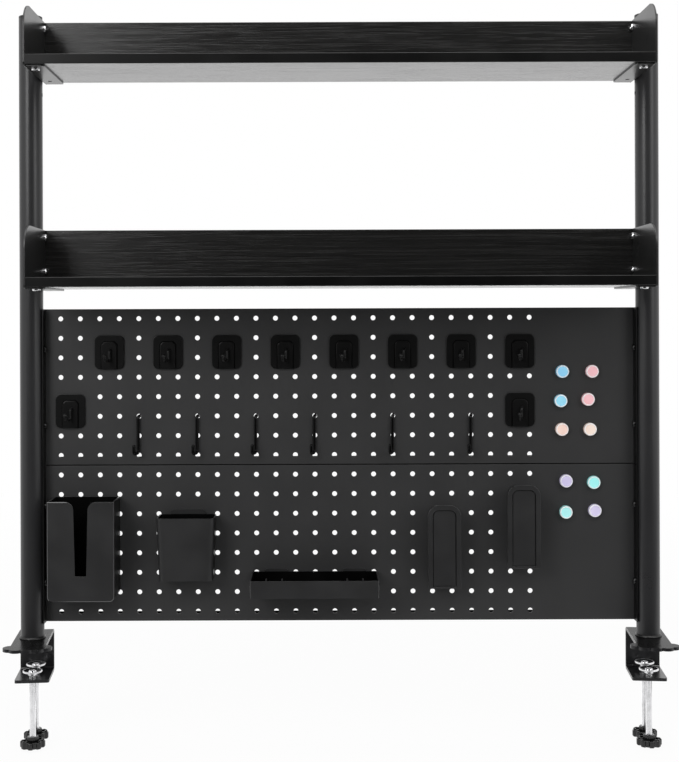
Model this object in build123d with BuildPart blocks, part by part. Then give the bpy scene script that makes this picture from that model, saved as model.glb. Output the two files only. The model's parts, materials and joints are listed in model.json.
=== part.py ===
from build123d import *
from math import cos, hypot, pi, radians, sin
import os

# Clamp-on desk pegboard: two round posts on screw clamps carry two perforated steel panels,
# two laminate shelves with back rails, and a set of pull-out fittings.
# Frame: millimetres, +X to the right, +Y away from the user, +Z up.
# The origin is midway between the post axes, on the top of the desk.

# Posts
post_x = 398.5
post_r = 15.0
post_wall = 1.5
post_length = 797.0
cap_height = 3.0
cap_plug_depth = 9.0
plug_fit = 0.1
foot_flange_height = 3.0
foot_flange_r = 16.9
foot_plug_height = 14.0

# Metal screws
thread_r = 2.5
thread_fit = 0.05
shank_hole_fit = 0.3
screw_head_r = 4.3
screw_head_h = 3.0
screw_reach = 8.0
foot_screw_r = 4.0
foot_head_r = 7.6
foot_screw_reach = 11.0
foot_socket_r = 2.9
foot_socket_depth = 3.0
foot_recess = 0.2

# Wood screws
wood_screw_r = 1.9
wood_screw_fit = 0.05
wood_screw_reach = 7.5
board_head_r = 5.0
rail_head_r = 3.6
wood_head_h = 2.2

# Desk clamps, each turned in a little about its post
clamp_turn = 5.2
plate = 4.0
clamp_width = 44.0
clamp_back = 48.5
lobe_neck = 50.0
jaw_height = 48.0
jaw_front = 12.0
jaw_corner_r = 3.0
bend_r = 2.5
lobe_r = 9.5
lobes = [(0.0, 58.0), (13.0, 56.0), (21.0, 50.5)]

# Clamp screws
bolt_r = 4.0
bolt_fit = 0.05
bolt_length = 88.0
bolt_spots = {"front": -3.0, "rear": 31.0}
tip_r = 2.8
tip_length = 3.5
pad_r = 12.5
pad_thick = 2.5
pad_collar_r = 6.0
pad_collar_h = 4.0
pad_gap = 4.0
shoulder_gap = 0.1
knob_r = 16.0
knob_root_r = 13.4
knob_lobes = 8
knob_tip_share = 0.26
knob_root_share = 0.62
knob_thick = 9.0
knob_floor = 5.0
knob_hub_r = 7.5
knob_hub_h = 5.0

# Shelves
shelf_front = 110.0
shelf_rear = 15.0
board_thick = 12.0
board_edge_r = 0.8
rail_thick = 9.0
rail_height = 64.5
middle_shelf_rise = 25.6
top_shelf_drop = 79.5
spare_hole_drop = 18.5

# Shelf end brackets, folded from sheet
sheet = 2.0
bracket_top_r = 30.0
bracket_low_r = 5.0
flange_width = 25.0
flange_corner_r = 4.0
rear_flange_width = 20.0
rear_flange_margin = 8.0
board_screw_y = -88.0
board_screw_in = 11.0
spare_flange_hole_y = -6.5
spare_flange_hole_r = 2.7
post_screw_low = 11.0
post_screw_high = 54.7
rail_screw_spread = 30.0

# Pegboard panels, folded from thinner sheet
pitch = 25.4
hole_r = 3.175
columns = 25
rows = 8
panel_sheet = 1.2
panel_face_y = 8.0
panel_base_z = 22.5
panel_side_margin = 20.8
panel_fit = 0.2
seam_gap = 0.4
side_flange = 16.0
return_flange = 18.5
return_lip = 9.0
panel_screw_margin = 52.0

# Fittings that plug into the pegboard
seat_gap = 0.3
peg_fit = 0.1
peg_reach = 10.0

box_width = 84.5
box_depth = 51.0
box_height = 126.0
box_wall = 2.0
box_rise = 22.8
box_shift = 8.9
box_corner_r = 6.0
box_edge = 0.8
slot_top = 18.5
slot_low = 14.1
slot_depth = 94.0
slot_mouth_r = 11.0
box_pegs = [(0, 2), (2, 2), (0, 5), (2, 5)]

cup_top_width = 74.0
cup_low_width = 68.5
cup_top_depth = 42.0
cup_low_depth = 38.0
cup_height = 80.0
cup_drop = 0.2
cup_wall = 1.8
cup_corner_r = 7.0
cup_shift = 0.1
cup_tab_width = 46.0
cup_tab_rise = 6.0
cup_tab_drop = 30.0
cup_tab_r = 5.0
cup_pegs = [(6, 5), (7, 5)]

tray_width = 163.0
tray_depth = 65.0
tray_height = 21.5
tray_rise = 1.0
tray_wall = 1.8
tray_shift = -0.9
tray_corner_r = 3.0
tray_rib_spacing = 20.2
tray_rib_length = 26.0
tray_rib_drop = 2.0
tray_tab_width = 30.0
tray_tab_rise = 3.5
tray_tab_r = 2.5
tray_pegs = [(11, 2), (15, 2)]

hanger_width = 42.0
hanger_height = 106.0
hanger_plate = 3.5
hanger_arch_r = 14.0
hanger_depth = 30.0
hanger_lip = 4.5
hanger_wall = 2.4
hanger_recess = 1.4
hanger_recess_margin = 6.0
hanger_foot = 2.5
hanger_head = 14.2
hanger_sites = {"left": (19, 5), "right": (23, 6)}

# Plate hooks and wire hooks, hung in their holes
hook_plate_width = 38.3
hook_plate_height = 43.8
hook_plate_thick = 2.5
hook_plate_r = 7.0
hook_drop = 5.6
hook_ridge_width = 20.0
hook_ridge_top = 8.6
hook_ridge_corner = 3.5
hook_ridge_thick = 2.0
hook_wire_r = 1.7
hook_sway = 20.0
hook_stand = 5.0
hook_fall = 14.0
hook_reach = 12.0
hook_rise = 9.0
hook_start = 3.0
hook_shift = 3.0
hook_bend = 2.6
anchor_r = 2.4
anchor_reach = 6.0
anchor_rise = 7.0
anchor_bend = 2.0
upper_hook_columns = range(2, 24, 3)
upper_hook_row = 14
lower_hook_columns = [0, 23]
lower_hook_row = 11

wire_r = 2.2
wire_sway = 15.0
wire_fall = 47.5
wire_out = 14.0
wire_rise = 12.0
wire_behind = 7.0
wire_upturn = 9.0
wire_bend = 3.0
wire_gap = 0.9
wire_columns = [4, 7, 10, 13, 17, 21]
wire_row = 10

# Round magnets on the plain end of each panel, in from its right edge and down from its top
magnet_r = 8.4
magnet_thick = 7.0
magnet_sites = {
    "blue": ("upper", [(94.0, 83.2), (96.2, 121.3)]),
    "pink": ("upper", [(55.4, 83.2), (60.7, 119.5)]),
    "peach": ("upper", [(94.8, 158.4), (58.3, 158.4)]),
    "lavender": ("lower", [(89.6, 22.2), (52.4, 60.7)]),
    "turquoise": ("lower", [(53.7, 24.2), (90.0, 62.7)]),
}

# Sizes and places that follow from the ones above
sides = {"left": -1, "right": 1}
inner_x = post_x - post_r
post_inner_r = post_r - post_wall
post_foot = plate + foot_flange_height
post_top = post_foot + post_length
shelf_half = inner_x - sheet
board_rear = shelf_rear - rail_thick
panel_half = inner_x - panel_fit
panel_height = rows * pitch
panel_bases = {"lower": panel_base_z, "upper": panel_base_z + panel_height}
panels_top = panel_base_z + 2 * panel_height
shelf_levels = {"middle": panels_top + middle_shelf_rise, "top": post_top - top_shelf_drop}
spare_hole_z = shelf_levels["top"] - spare_hole_drop
jaw_floor = -jaw_height
pad_base = jaw_floor + pad_gap
pad_seat = pad_base + pad_collar_h
pad_top = pad_seat + pad_thick
bolt_head = pad_base - shoulder_gap
bolt_end = bolt_head - bolt_length
knob_base = bolt_end - knob_floor
peg_r = hole_r - peg_fit
seat_y = panel_face_y - seat_gap
hook_shelf = hook_plate_thick + hook_ridge_thick
hook_mid = pitch / 2 + hook_drop

upward = (Align.CENTER, Align.CENTER, Align.MIN)
downward = (Align.CENTER, Align.CENTER, Align.MAX)

shelf_screw_heights = []
for level in shelf_levels.values():
    shelf_screw_heights.append(level + board_thick + post_screw_low)
    shelf_screw_heights.append(level + board_thick + post_screw_high)

panel_screw_heights = []
for base in panel_bases.values():
    panel_screw_heights.append(base + panel_screw_margin)
    panel_screw_heights.append(base + panel_height - panel_screw_margin)


def save(piece, label):
    piece.part.label = label
    export_step(piece.part, "parts/" + label + ".step")


def hole_x(column):
    return -panel_half + panel_side_margin + column * pitch


def hole_z(row):
    return panel_base_z + (row + 0.5) * pitch


def clamp_plan(side, height=0.0):
    """The clamp's own plan at one height, centred on its post."""
    turn = radians(-side * clamp_turn)
    origin = (side * post_x, 0, height)
    return Plane(origin=origin, x_dir=(cos(turn), sin(turn), 0), z_dir=(0, 0, 1))


def clamp_section(side):
    """The clamp's side view, with x running to the rear and y upwards."""
    turn = radians(-side * clamp_turn)
    across = (cos(turn), sin(turn), 0)
    return Plane(origin=(side * post_x, 0, 0), x_dir=(-sin(turn), cos(turn), 0), z_dir=across)


def bolt_centre(side, spot):
    return clamp_plan(side).from_local_coords(Vector(0, bolt_spots[spot], 0))


def upright_plane(centre):
    """A vertical plane through a screw's axis, with x outwards and y upwards."""
    return Plane(origin=(centre.X, centre.Y, 0), x_dir=(1, 0, 0), z_dir=(0, -1, 0))


def over_pegs(sites):
    """The point midway across a fitting's pegs, and the height of its top row of pegs."""
    across = [hole_x(column) for column, row in sites]
    heights = [hole_z(row) for column, row in sites]
    return (min(across) + max(across)) / 2, max(heights)


def peg_seats(sites):
    seats = []
    for column, row in sites:
        origin = (hole_x(column), seat_y, hole_z(row))
        seats.append(Plane(origin=origin, x_dir=(1, 0, 0), z_dir=(0, 1, 0)))
    return seats


def eased(points, cut):
    """A route's points, with each inner corner cut off by a short straight."""
    route = [points[0]]
    for before, corner, after in zip(points, points[1:], points[2:]):
        for neighbour in (before, after):
            across = neighbour[0] - corner[0]
            up = neighbour[1] - corner[1]
            share = cut / hypot(across, up)
            route.append((corner[0] + share * across, corner[1] + share * up))
    route.append(points[-1])
    return route


def add_rod(plane, points, cut, radius):
    """An eight-sided rod along a route in a plane, with mitred corners."""
    with BuildLine(plane) as route:
        Polyline(*eased(points, cut))
    with BuildSketch(Plane(origin=route.line @ 0, z_dir=route.line % 0)) as section:
        RegularPolygon(radius, 8)
    sweep(section.sketch, route.line, transition=Transition.RIGHT)


def add_pegs(sites):
    """Straight pegs behind the fitting being built."""
    with Locations(*peg_seats(sites)):
        Cylinder(peg_r, seat_gap + peg_reach, align=upward)


def pan_screws(seats, head_r, head_h, shank_r, reach):
    """Plain pan-head screws, one solid on each seat, their heads along the seat's normal."""
    with BuildPart() as screws:
        with Locations(*seats):
            Cylinder(head_r, head_h, align=upward)
            Cylinder(shank_r, reach, align=downward)
    return screws


def make_post(name):
    side = sides[name]
    with BuildPart() as post:
        with BuildSketch(Plane.XY.offset(post_foot)):
            with Locations((side * post_x, 0)):
                Circle(post_r)
                Circle(post_inner_r, mode=Mode.SUBTRACT)
        extrude(amount=post_length)
        for height in shelf_screw_heights + panel_screw_heights + [spare_hole_z]:
            with Locations(Plane(origin=(side * inner_x, 0, height), z_dir=(-side, 0, 0))):
                Hole(thread_r, depth=post_r)
    save(post, name + "_post")


def make_post_cap(name):
    with BuildPart() as cap:
        with BuildSketch(Plane.XY.offset(post_top)):
            with Locations((sides[name] * post_x, 0)):
                Circle(post_r)
        extrude(amount=cap_height)
        with BuildSketch(Plane.XY.offset(post_top)):
            with Locations((sides[name] * post_x, 0)):
                Circle(post_inner_r - plug_fit)
        extrude(amount=-cap_plug_depth)
    save(cap, name + "_post_cap")


def make_foot_plug(name):
    """A tapped plug in the post's foot, whose flange the tube stands on."""
    with BuildPart() as plug:
        with BuildSketch(Plane.XY.offset(plate)):
            with Locations((sides[name] * post_x, 0)):
                Circle(foot_flange_r)
        extrude(amount=foot_flange_height)
        with BuildSketch(Plane.XY.offset(post_foot)):
            with Locations((sides[name] * post_x, 0)):
                Circle(post_inner_r - plug_fit)
        extrude(amount=foot_plug_height)
        with BuildSketch(Plane.XY.offset(plate)):
            with Locations((sides[name] * post_x, 0)):
                Circle(foot_screw_r + thread_fit)
        extrude(amount=foot_flange_height + foot_plug_height, mode=Mode.SUBTRACT)
    save(plug, name + "_foot_plug")


def make_foot_screw(name):
    centre = Vector(sides[name] * post_x, 0, 0)
    neck = foot_recess + foot_head_r - foot_screw_r
    with BuildPart() as screw:
        with BuildSketch(upright_plane(centre)):
            with BuildLine():
                Polyline(
                    (0, foot_recess),
                    (foot_head_r, foot_recess),
                    (foot_screw_r, neck),
                    (foot_screw_r, plate + foot_screw_reach),
                    (0, plate + foot_screw_reach),
                    close=True,
                )
            make_face()
        revolve(axis=Axis(centre, (0, 0, 1)))
        with BuildSketch(Plane.XY.offset(foot_recess)):
            with Locations((centre.X, centre.Y)):
                RegularPolygon(foot_socket_r, 6)
        extrude(amount=foot_socket_depth, mode=Mode.SUBTRACT)
    save(screw, name + "_foot_screw")


def make_clamp_bracket(name):
    side = sides[name]
    rear = clamp_back - plate
    with BuildPart() as bracket:
        with BuildSketch(clamp_section(side)) as section:
            with BuildLine():
                Polyline(
                    (0, plate),
                    (clamp_back, plate),
                    (clamp_back, jaw_floor - plate),
                    (-jaw_front, jaw_floor - plate),
                    (-jaw_front, jaw_floor),
                    (rear, jaw_floor),
                    (rear, 0),
                    (0, 0),
                    close=True,
                )
            make_face()
            fillet(section.vertices().group_by(Axis.X)[-1], bend_r + plate)
            fillet(section.vertices().group_by(Axis.X)[-2], bend_r)
        extrude(amount=clamp_width / 2, both=True)
        jaw = bracket.edges().filter_by(Axis.Z).group_by(Axis.Z)[0]
        fillet(jaw, jaw_corner_r)
        with BuildSketch(clamp_plan(side)):
            with Locations((0, -lobe_neck / 2)):
                Rectangle(clamp_width, lobe_neck)
            for across, ahead in lobes:
                with Locations((across, -ahead), (-across, -ahead)):
                    Circle(lobe_r)
        extrude(amount=plate)
        with Locations(Plane(origin=(side * post_x, 0, 0), z_dir=(0, 0, -1))):
            CounterSinkHole(foot_screw_r + shank_hole_fit, foot_head_r + shank_hole_fit, plate)
        with BuildSketch(clamp_plan(side, jaw_floor)):
            with Locations(*[(0, spot) for spot in bolt_spots.values()]):
                Circle(bolt_r + bolt_fit)
        extrude(amount=-plate, mode=Mode.SUBTRACT)
    save(bracket, name + "_clamp_bracket")


def make_clamp_pad(name, spot):
    centre = bolt_centre(sides[name], spot)
    bore_top = pad_base + tip_length + shoulder_gap
    with BuildPart() as pad:
        with BuildSketch(upright_plane(centre)):
            with BuildLine():
                Polyline(
                    (tip_r + bolt_fit, pad_base),
                    (pad_collar_r, pad_base),
                    (pad_collar_r, pad_seat),
                    (pad_r, pad_seat),
                    (pad_r, pad_top),
                    (0, pad_top),
                    (0, bore_top),
                    (tip_r + bolt_fit, bore_top),
                    close=True,
                )
            make_face()
        revolve(axis=Axis(centre, (0, 0, 1)))
    save(pad, name + "_" + spot + "_clamp_pad")


def make_clamp_bolt(name, spot):
    centre = bolt_centre(sides[name], spot)
    with BuildPart() as bolt:
        with BuildSketch(Plane.XY.offset(bolt_end)):
            with Locations((centre.X, centre.Y)):
                Circle(bolt_r)
        extrude(amount=bolt_length)
        with BuildSketch(Plane.XY.offset(bolt_head)):
            with Locations((centre.X, centre.Y)):
                Circle(tip_r)
        extrude(amount=tip_length)
    save(bolt, name + "_" + spot + "_clamp_bolt")


def make_clamp_knob(name, spot):
    """A star knob with straight-sided lobes, pressed on the bolt's lower end."""
    centre = bolt_centre(sides[name], spot)
    step = 2 * pi / knob_lobes
    star = []
    for lobe in range(knob_lobes):
        for radius, share in (
            (knob_root_r, -knob_root_share),
            (knob_r, -knob_tip_share),
            (knob_r, knob_tip_share),
            (knob_root_r, knob_root_share),
        ):
            angle = step * (lobe + share / 2)
            star.append((centre.X + radius * cos(angle), centre.Y + radius * sin(angle)))
    with BuildPart() as knob:
        with BuildSketch(Plane.XY.offset(knob_base)):
            Polygon(*star, align=None)
        extrude(amount=knob_thick)
        with BuildSketch(Plane.XY.offset(knob_base + knob_thick)):
            with Locations((centre.X, centre.Y)):
                Circle(knob_hub_r)
        extrude(amount=knob_hub_h)
        with BuildSketch(Plane.XY.offset(bolt_end)):
            with Locations((centre.X, centre.Y)):
                Circle(bolt_r + bolt_fit)
        extrude(amount=bolt_length, mode=Mode.SUBTRACT)
    save(knob, name + "_" + spot + "_clamp_knob")


def board_screw_x(side):
    return side * (inner_x - board_screw_in)


def rail_screw_seats(level):
    """Where the rail's screws stand on the rear flanges of both end brackets."""
    mid = level + board_thick + rail_height / 2
    seats = []
    for side in sides.values():
        for rise in (-rail_screw_spread / 2, rail_screw_spread / 2):
            origin = (side * (inner_x - rear_flange_width / 2), shelf_rear + sheet, mid + rise)
            seats.append(Plane(origin=origin, x_dir=(1, 0, 0), z_dir=(0, 1, 0)))
    return seats


def make_shelf_board(name):
    level = shelf_levels[name]
    with BuildPart() as board:
        with BuildSketch(Plane.XY.offset(level)):
            with Locations((0, (board_rear - shelf_front) / 2)):
                Rectangle(2 * shelf_half, shelf_front + board_rear)
        extrude(amount=board_thick)
        fillet(board.edges().filter_by(Axis.X).group_by(Axis.Y)[0], board_edge_r)
        for side in sides.values():
            seat = Plane(origin=(board_screw_x(side), board_screw_y, level), z_dir=(0, 0, -1))
            with Locations(seat):
                Hole(wood_screw_r + wood_screw_fit, depth=wood_screw_reach)
    save(board, name + "_shelf_board")


def make_back_rail(name):
    """The rail stands on the end flanges behind the board and rises above it."""
    level = shelf_levels[name]
    with BuildPart() as rail:
        with BuildSketch(Plane.XY.offset(level)):
            with Locations((0, (board_rear + shelf_rear) / 2)):
                Rectangle(2 * shelf_half, rail_thick)
        extrude(amount=board_thick + rail_height)
        fillet(rail.edges().filter_by(Axis.X).group_by(Axis.Z)[-1], board_edge_r)
        for seat in rail_screw_seats(level):
            with Locations(seat.offset(-sheet)):
                Hole(wood_screw_r + wood_screw_fit, depth=wood_screw_reach)
    save(rail, name + "_back_rail")


def make_end_bracket(level_name, name):
    """Side plate, shelf flange and rear flange of one shelf end, folded from one sheet."""
    side = sides[name]
    level = shelf_levels[level_name]
    top = level + board_thick + rail_height
    outer_low = min(side * inner_x, side * shelf_half)
    flange_rear = shelf_rear + sheet
    flange_ahead = shelf_front - bracket_low_r
    with BuildPart() as bracket:
        with BuildSketch(Plane.YZ.offset(outer_low)) as cheek:
            with Locations(((flange_rear - shelf_front) / 2, (top + level - sheet) / 2)):
                Rectangle(shelf_front + flange_rear, top - level + sheet)
            front = cheek.vertices().group_by(Axis.X)[0].sort_by(Axis.Y)
            fillet(front[-1], bracket_top_r)
            front = cheek.vertices().group_by(Axis.Y)[0].sort_by(Axis.X)
            fillet(front[0], bracket_low_r)
        extrude(amount=sheet)
        with BuildSketch(Plane.XY.offset(level - sheet)) as shelf_flange:
            with Locations((side * (inner_x - flange_width / 2), (shelf_rear - flange_ahead) / 2)):
                Rectangle(flange_width, shelf_rear + flange_ahead)
            free = shelf_flange.vertices().sort_by_distance((0, 0))[0:2]
            fillet(free, flange_corner_r)
        extrude(amount=sheet)
        tall = rail_height - 2 * rear_flange_margin
        with BuildSketch(Plane.XZ.offset(-flange_rear)) as rear_flange:
            centre_z = level + board_thick + rail_height / 2
            with Locations((side * (inner_x - rear_flange_width / 2), centre_z)):
                Rectangle(rear_flange_width, tall)
            free = rear_flange.vertices().sort_by(Axis.X, reverse=side > 0)[2:4]
            fillet(free, flange_corner_r)
        extrude(amount=sheet)
        for rise in (post_screw_low, post_screw_high):
            origin = (side * inner_x, 0, level + board_thick + rise)
            with Locations(Plane(origin=origin, z_dir=(side, 0, 0))):
                Hole(thread_r + shank_hole_fit, depth=sheet)
        with Locations(Plane(origin=(board_screw_x(side), board_screw_y, level), z_dir=(0, 0, 1))):
            Hole(wood_screw_r + shank_hole_fit, depth=sheet)
        with Locations(Plane(origin=(board_screw_x(side), spare_flange_hole_y, level), z_dir=(0, 0, 1))):
            Hole(spare_flange_hole_r, depth=sheet)
        for seat in rail_screw_seats(level):
            if seat.origin.X * side > 0:
                with Locations(seat):
                    Hole(wood_screw_r + shank_hole_fit, depth=sheet)
    save(bracket, level_name + "_" + name + "_end_bracket")


def make_shelf_screws():
    seats = []
    for side in sides.values():
        for height in shelf_screw_heights:
            seats.append(Plane(origin=(side * shelf_half, 0, height), z_dir=(-side, 0, 0)))
    reach = sheet + screw_reach
    screws = pan_screws(seats, screw_head_r, screw_head_h, thread_r - thread_fit, reach)
    save(screws, "post_screws")

    seats = []
    for side in sides.values():
        for level in shelf_levels.values():
            origin = (board_screw_x(side), board_screw_y, level - sheet)
            seats.append(Plane(origin=origin, z_dir=(0, 0, -1)))
    screws = pan_screws(seats, board_head_r, wood_head_h, wood_screw_r, wood_screw_reach)
    save(screws, "board_screws")

    seats = rail_screw_seats(shelf_levels["middle"]) + rail_screw_seats(shelf_levels["top"])
    screws = pan_screws(seats, rail_head_r, wood_head_h, wood_screw_r, wood_screw_reach)
    save(screws, "rail_screws")


def make_panels():
    """A perforated face with forward side flanges and returned edges, placed twice."""
    low = panel_base_z + seam_gap / 2
    tall = panel_height - seam_gap
    mid = low + tall / 2
    face_rear = panel_face_y + panel_sheet
    return_rear = panel_face_y + return_flange
    with BuildPart() as panel:
        with BuildSketch(Plane.XZ.offset(-face_rear)):
            with Locations((0, mid)):
                Rectangle(2 * panel_half, tall)
        extrude(amount=panel_sheet)
        with BuildSketch(Plane.XZ.offset(-face_rear)):
            for side in sides.values():
                with Locations((side * (panel_half - panel_sheet / 2), mid)):
                    Rectangle(panel_sheet, tall)
        extrude(amount=side_flange + panel_sheet)
        with BuildSketch(Plane.XZ.offset(-return_rear)):
            for centre in (low + panel_sheet / 2, low + tall - panel_sheet / 2):
                with Locations((0, centre)):
                    Rectangle(2 * panel_half, panel_sheet)
        extrude(amount=return_flange)
        with BuildSketch(Plane.XZ.offset(-return_rear)):
            for centre in (low + return_lip / 2, low + tall - return_lip / 2):
                with Locations((0, centre)):
                    Rectangle(2 * panel_half, return_lip)
        extrude(amount=panel_sheet)
        for side in sides.values():
            for margin in (panel_screw_margin, panel_height - panel_screw_margin):
                origin = (side * panel_half, 0, panel_base_z + margin)
                with Locations(Plane(origin=origin, z_dir=(side, 0, 0))):
                    Hole(thread_r + shank_hole_fit, depth=panel_sheet)
        with BuildSketch(Plane.XZ.offset(-face_rear)):
            with Locations(((hole_x(0) + hole_x(columns - 1)) / 2, mid)):
                with GridLocations(pitch, pitch, columns, rows):
                    Circle(hole_r)
        extrude(amount=panel_sheet, mode=Mode.SUBTRACT)
    for name, base in panel_bases.items():
        with BuildPart() as placed:
            with Locations((0, 0, base - panel_base_z)):
                add(panel.part)
        save(placed, name + "_panel")


def make_panel_screws():
    seats = []
    for side in sides.values():
        for height in panel_screw_heights:
            origin = (side * (panel_half - panel_sheet), 0, height)
            seats.append(Plane(origin=origin, z_dir=(-side, 0, 0)))
    reach = panel_sheet + panel_fit + screw_reach
    screws = pan_screws(seats, screw_head_r, screw_head_h, thread_r - thread_fit, reach)
    save(screws, "panel_screws")


def make_slotted_box():
    across, height = over_pegs(box_pegs)
    middle = across + box_shift
    top = height + box_rise
    front = seat_y - box_depth
    floor = top - box_height
    with BuildPart() as box:
        with BuildSketch(Plane.XZ.offset(-seat_y)) as outline:
            with Locations((middle, floor + box_height / 2)):
                Rectangle(box_width, box_height)
            fillet(outline.vertices().group_by(Axis.Y)[0], box_corner_r)
        extrude(amount=box_depth)
        chamfer(box.faces().sort_by(Axis.Y)[0].edges(), box_edge)
        with BuildSketch(Plane.XZ.offset(box_wall - seat_y)) as cavity:
            with Locations((middle, floor + box_wall + box_height / 2)):
                Rectangle(box_width - 2 * box_wall, box_height)
            fillet(cavity.vertices().group_by(Axis.Y)[0], box_corner_r - box_wall)
        extrude(amount=box_depth - 2 * box_wall, mode=Mode.SUBTRACT)
        with BuildSketch(Plane.XZ.offset(-front)) as slot:
            with BuildLine():
                Polyline(
                    (middle - slot_top / 2, top),
                    (middle - slot_low / 2, top - slot_depth),
                    (middle + slot_low / 2, top - slot_depth),
                    (middle + slot_top / 2, top),
                    close=True,
                )
            make_face()
            with Locations((middle, top + box_wall / 2)):
                Rectangle(slot_top + 3 * slot_mouth_r, box_wall)
            mouth = slot.vertices().group_by(Axis.Y)[1].sort_by(Axis.X)
            fillet(mouth[1:3], slot_mouth_r)
        extrude(amount=-box_wall, mode=Mode.SUBTRACT)
        add_pegs(box_pegs)
    save(box, "slotted_box")


def make_pen_cup():
    across, height = over_pegs(cup_pegs)
    middle = across + cup_shift
    top = height - cup_drop
    floor = top - cup_height
    with BuildPart() as cup:
        with BuildSketch(Plane.XY.offset(floor)):
            with Locations((middle, seat_y - cup_low_depth / 2)):
                RectangleRounded(cup_low_width, cup_low_depth, cup_corner_r)
        with BuildSketch(Plane.XY.offset(top)):
            with Locations((middle, seat_y - cup_top_depth / 2)):
                RectangleRounded(cup_top_width, cup_top_depth, cup_corner_r)
        loft()
        with BuildSketch(Plane.XZ.offset(-seat_y)) as tab:
            rise = cup_tab_rise + cup_tab_drop
            with Locations((middle, top + cup_tab_rise - rise / 2)):
                Rectangle(cup_tab_width, rise)
            fillet(tab.vertices().group_by(Axis.Y)[-1], cup_tab_r)
        extrude(amount=cup_wall)
        with BuildSketch(Plane.XY.offset(floor + cup_wall)):
            with Locations((middle, seat_y - cup_low_depth / 2)):
                RectangleRounded(
                    cup_low_width - 2 * cup_wall,
                    cup_low_depth - 2 * cup_wall,
                    cup_corner_r - cup_wall,
                )
        with BuildSketch(Plane.XY.offset(top)):
            with Locations((middle, seat_y - cup_top_depth / 2)):
                RectangleRounded(
                    cup_top_width - 2 * cup_wall,
                    cup_top_depth - 2 * cup_wall,
                    cup_corner_r - cup_wall,
                )
        loft(mode=Mode.SUBTRACT)
        add_pegs(cup_pegs)
    save(cup, "pen_cup")


def make_tray():
    across, height = over_pegs(tray_pegs)
    middle = across + tray_shift
    floor = height + tray_rise - tray_height
    middle_y = seat_y - tray_depth / 2
    front = seat_y - tray_depth + tray_wall
    with BuildPart() as tray:
        with BuildSketch(Plane.XY.offset(floor)):
            with Locations((middle, middle_y)):
                RectangleRounded(tray_width, tray_depth, tray_corner_r)
        extrude(amount=tray_height)
        with BuildSketch(Plane.XY.offset(floor + tray_wall)):
            with Locations((middle, middle_y)):
                inner_r = tray_corner_r - tray_wall
                RectangleRounded(tray_width - 2 * tray_wall, tray_depth - 2 * tray_wall, inner_r)
        extrude(amount=tray_height, mode=Mode.SUBTRACT)
        with BuildSketch(Plane.XY.offset(floor + tray_wall)):
            for side in sides.values():
                for count in (1, 2):
                    rib = middle + side * (tray_width / 2 - count * tray_rib_spacing)
                    with Locations((rib, front + tray_rib_length / 2)):
                        Rectangle(tray_wall, tray_rib_length)
        extrude(amount=tray_height - tray_wall - tray_rib_drop)
        with BuildSketch(Plane.XZ.offset(-seat_y)) as tabs:
            tall = tray_height + tray_tab_rise
            for column, row in tray_pegs:
                with Locations((hole_x(column), floor + tall / 2)):
                    Rectangle(tray_tab_width, tall)
            fillet(tabs.vertices().group_by(Axis.Y)[-1], tray_tab_r)
        extrude(amount=tray_wall)
        add_pegs(tray_pegs)
    save(tray, "parts_tray")


def make_hanger(name):
    """A hollow arched saddle with a broader front plate that keeps a loop from slipping off."""
    column, row = hanger_sites[name]
    pegs = [(column, row), (column + 1, row), (column, row - 2), (column + 1, row - 2)]
    centre_x, height = over_pegs(pegs)
    top = height + hanger_head
    foot = top - hanger_height
    saddle_top = top - hanger_lip
    front = seat_y - hanger_depth
    with BuildPart() as hanger:
        with BuildSketch(Plane.XZ.offset(-seat_y)) as saddle:
            with Locations((centre_x, (saddle_top + foot) / 2)):
                Rectangle(hanger_width - 2 * hanger_lip, saddle_top - foot)
            fillet(saddle.vertices().group_by(Axis.Y)[-1], hanger_arch_r - hanger_lip)
        extrude(amount=hanger_depth)
        with BuildSketch(Plane.XZ.offset(hanger_wall - seat_y)) as hollow:
            reach = saddle_top - hanger_wall - foot
            with Locations((centre_x, foot + reach / 2)):
                Rectangle(hanger_width - 2 * hanger_lip - 2 * hanger_wall, reach)
            inside = hollow.vertices().group_by(Axis.Y)[-1]
            fillet(inside, hanger_arch_r - hanger_lip - hanger_wall)
        extrude(amount=hanger_depth - hanger_wall, mode=Mode.SUBTRACT)
        with BuildSketch(Plane.XZ.offset(-front)) as shield:
            with Locations((centre_x, (top + foot) / 2)):
                Rectangle(hanger_width, hanger_height)
            fillet(shield.vertices().group_by(Axis.Y)[-1], hanger_arch_r)
        extrude(amount=hanger_plate)
        with BuildSketch(Plane.XZ.offset(hanger_plate - front)) as recess:
            tall = hanger_height - hanger_recess_margin - hanger_foot
            with Locations((centre_x, foot + hanger_foot + tall / 2)):
                Rectangle(hanger_width - 2 * hanger_recess_margin, tall)
            round_top = recess.vertices().group_by(Axis.Y)[-1]
            fillet(round_top, hanger_arch_r - hanger_recess_margin)
        extrude(amount=-hanger_recess, mode=Mode.SUBTRACT)
        add_pegs(pegs)
    save(hanger, name + "_loop_hanger")


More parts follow.
